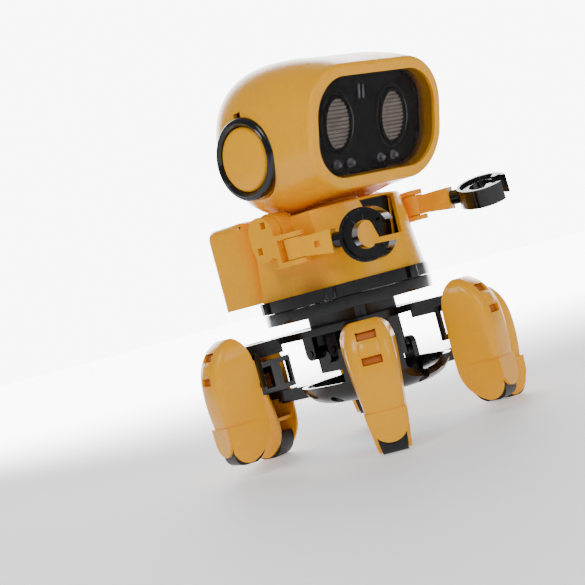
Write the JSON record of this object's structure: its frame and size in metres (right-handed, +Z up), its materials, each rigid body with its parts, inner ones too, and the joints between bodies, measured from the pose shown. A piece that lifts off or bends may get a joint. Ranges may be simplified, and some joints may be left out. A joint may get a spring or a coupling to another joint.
{
  "type": "walking robot toy",
  "caption": "Yellow and black walking robot toy with a hooded head, clawed arms that fold, a turning waist and legs worked by cranks in two tripods.",
  "frame": {"origin": "on the floor under the axis that the torso turns on", "axes": "+Z up along the turning axis; the face looks along -Y; the robot's right arm is on -X"},
  "size_m": [0.1364, 0.1266, 0.1626],
  "materials": {
    "yellow_plastic": "satin",
    "black_plastic": "gloss",
    "gear_plastic": "satin",
    "screw_steel": "satin",
    "motor_steel": "satin",
    "foot_rubber": "matte",
    "smoked_visor": "gloss",
    "clear_lens": "gloss",
    "solar_cell": "gloss",
    "eye_plastic": "satin",
    "bulb_plastic": "gloss",
    "circuit_board": "satin",
    "battery_metal": "satin"
  },
  "bodies": {
    "base": {"waist_band_lower": "black_plastic", "gearbox_right": "black_plastic", "gearbox_left": "black_plastic", "gearbox_screws": "screw_steel", "drive_motor": "motor_steel", "turn_retainer": "black_plastic"},
    "rear_crank": {"rear_crank": "black_plastic", "rear_crank_gear": "gear_plastic"},
    "front_crank": {"front_crank": "black_plastic", "front_crank_gear": "gear_plastic"},
    "idler": {"idler_gear": "gear_plastic"},
    "motor_pinion": {"motor_pinion": "gear_plastic"},
    "tripod_a": {"tripod_a_frame": "black_plastic", "leg_a1": "yellow_plastic", "leg_a2": "yellow_plastic", "leg_a3": "yellow_plastic", "toe_a1": "yellow_plastic", "toe_a2": "yellow_plastic", "toe_a3": "yellow_plastic", "foot_pads_a": "foot_rubber"},
    "tripod_b": {"tripod_b_frame": "black_plastic", "leg_b1": "yellow_plastic", "leg_b2": "yellow_plastic", "leg_b3": "yellow_plastic", "toe_b1": "yellow_plastic", "toe_b2": "yellow_plastic", "toe_b3": "yellow_plastic", "foot_pads_b": "foot_rubber"},
    "torso": {"waist_band_upper": "black_plastic", "turn_motor": "motor_steel", "torso_front": "yellow_plastic", "torso_back": "yellow_plastic", "chest_panel": "black_plastic", "torso_screws": "screw_steel", "main_board": "circuit_board", "speaker": "motor_steel", "battery_box": "yellow_plastic", "battery_cells": "battery_metal", "head_right": "yellow_plastic", "head_left": "yellow_plastic", "visor": "smoked_visor", "face_mask": "black_plastic", "eye_lenses": "eye_plastic", "infrared_bulbs": "bulb_plastic", "ear_ring_right": "black_plastic", "ear_ring_left": "black_plastic", "ear_cap_right": "yellow_plastic", "ear_cap_left": "yellow_plastic", "crown_lens": "clear_lens", "crown_cell": "solar_cell"},
    "turn_pinion": {"turn_pinion": "gear_plastic"},
    "battery_door": {"battery_door": "yellow_plastic"},
    "power_switch": {"power_switch": "black_plastic"},
    "upper_arm_right": {"upper_arm_right": "yellow_plastic"},
    "forearm_right": {"forearm_right": "yellow_plastic"},
    "claw_right": {"claw_right": "black_plastic"},
    "upper_arm_left": {"upper_arm_left": "yellow_plastic"},
    "forearm_left": {"forearm_left": "yellow_plastic"},
    "claw_left": {"claw_left": "black_plastic"}
  },
  "joints": [
    {"name": "walk_crank", "type": "hinge", "parent": "base", "child": "rear_crank", "pos_m": [0, 0.007, 0.038], "axis": [1, 0, 0], "continuous": true},
    {"name": "front_crank_turn", "type": "hinge", "parent": "base", "child": "front_crank", "pos_m": [0, -0.007, 0.038], "axis": [1, 0, 0], "continuous": true},
    {"name": "idler_turn", "type": "hinge", "parent": "base", "child": "idler", "pos_m": [0, 0, 0.04264], "axis": [1, 0, 0], "continuous": true},
    {"name": "pinion_turn", "type": "hinge", "parent": "base", "child": "motor_pinion", "pos_m": [0, 0, 0.04924], "axis": [1, 0, 0], "continuous": true},
    {"name": "tripod_a_carry", "type": "hinge", "parent": "rear_crank", "child": "tripod_a", "pos_m": [0, 0.0017, 0.03518], "axis": [1, 0, 0], "continuous": true},
    {"name": "tripod_b_carry", "type": "hinge", "parent": "rear_crank", "child": "tripod_b", "pos_m": [0, 0.0123, 0.04082], "axis": [1, 0, 0], "continuous": true},
    {"name": "waist_turn", "type": "hinge", "parent": "base", "child": "torso", "pos_m": [0, 0, 0.06115], "axis": [0, 0, 1], "continuous": true},
    {"name": "turn_pinion_spin", "type": "hinge", "parent": "torso", "child": "turn_pinion", "pos_m": [0, 0.0192, 0.0593], "axis": [0, 0, 1], "continuous": true},
    {"name": "battery_door_slide", "type": "slide", "parent": "torso", "child": "battery_door", "axis": [0, 0, 1], "range_m": [0, 0.036]},
    {"name": "power_switch_slide", "type": "slide", "parent": "torso", "child": "power_switch", "axis": [0, 1, 0], "range_m": [0, 0.004]},
    {"name": "shoulder_right", "type": "hinge", "parent": "torso", "child": "upper_arm_right", "pos_m": [-0.036, 0.001, 0.0935], "axis": [1, 0, 0], "range_deg": [-10, 8]},
    {"name": "elbow_right", "type": "hinge", "parent": "upper_arm_right", "child": "forearm_right", "pos_m": [-0.036, -0.015, 0.0846], "axis": [0, 0, 1], "range_deg": [-70, 8]},
    {"name": "wrist_right", "type": "hinge", "parent": "forearm_right", "child": "claw_right", "pos_m": [-0.02892, -0.03365, 0.08318], "axis": [0.3538, -0.9327, -0.0708], "range_deg": [-90, 90]},
    {"name": "shoulder_left", "type": "hinge", "parent": "torso", "child": "upper_arm_left", "pos_m": [0.036, 0.001, 0.0935], "axis": [1, 0, 0], "range_deg": [-6, 12]},
    {"name": "elbow_left", "type": "hinge", "parent": "upper_arm_left", "child": "forearm_left", "pos_m": [0.036, -0.0174, 0.0906], "axis": [0, 0, 1], "range_deg": [-20, 60]},
    {"name": "wrist_left", "type": "hinge", "parent": "forearm_left", "child": "claw_left", "pos_m": [0.04342, -0.03594, 0.08945], "axis": [0.3708, -0.9269, -0.0575], "range_deg": [-90, 90]}
  ],
  "couplings": [
    {"joint": "front_crank_turn", "follows": "walk_crank", "ratio": 1},
    {"joint": "idler_turn", "follows": "walk_crank", "ratio": -1},
    {"joint": "pinion_turn", "follows": "walk_crank", "ratio": 1.75},
    {"joint": "tripod_a_carry", "follows": "walk_crank", "ratio": -1},
    {"joint": "tripod_b_carry", "follows": "walk_crank", "ratio": -1},
    {"joint": "turn_pinion_spin", "follows": "waist_turn", "ratio": -5}
  ]
}
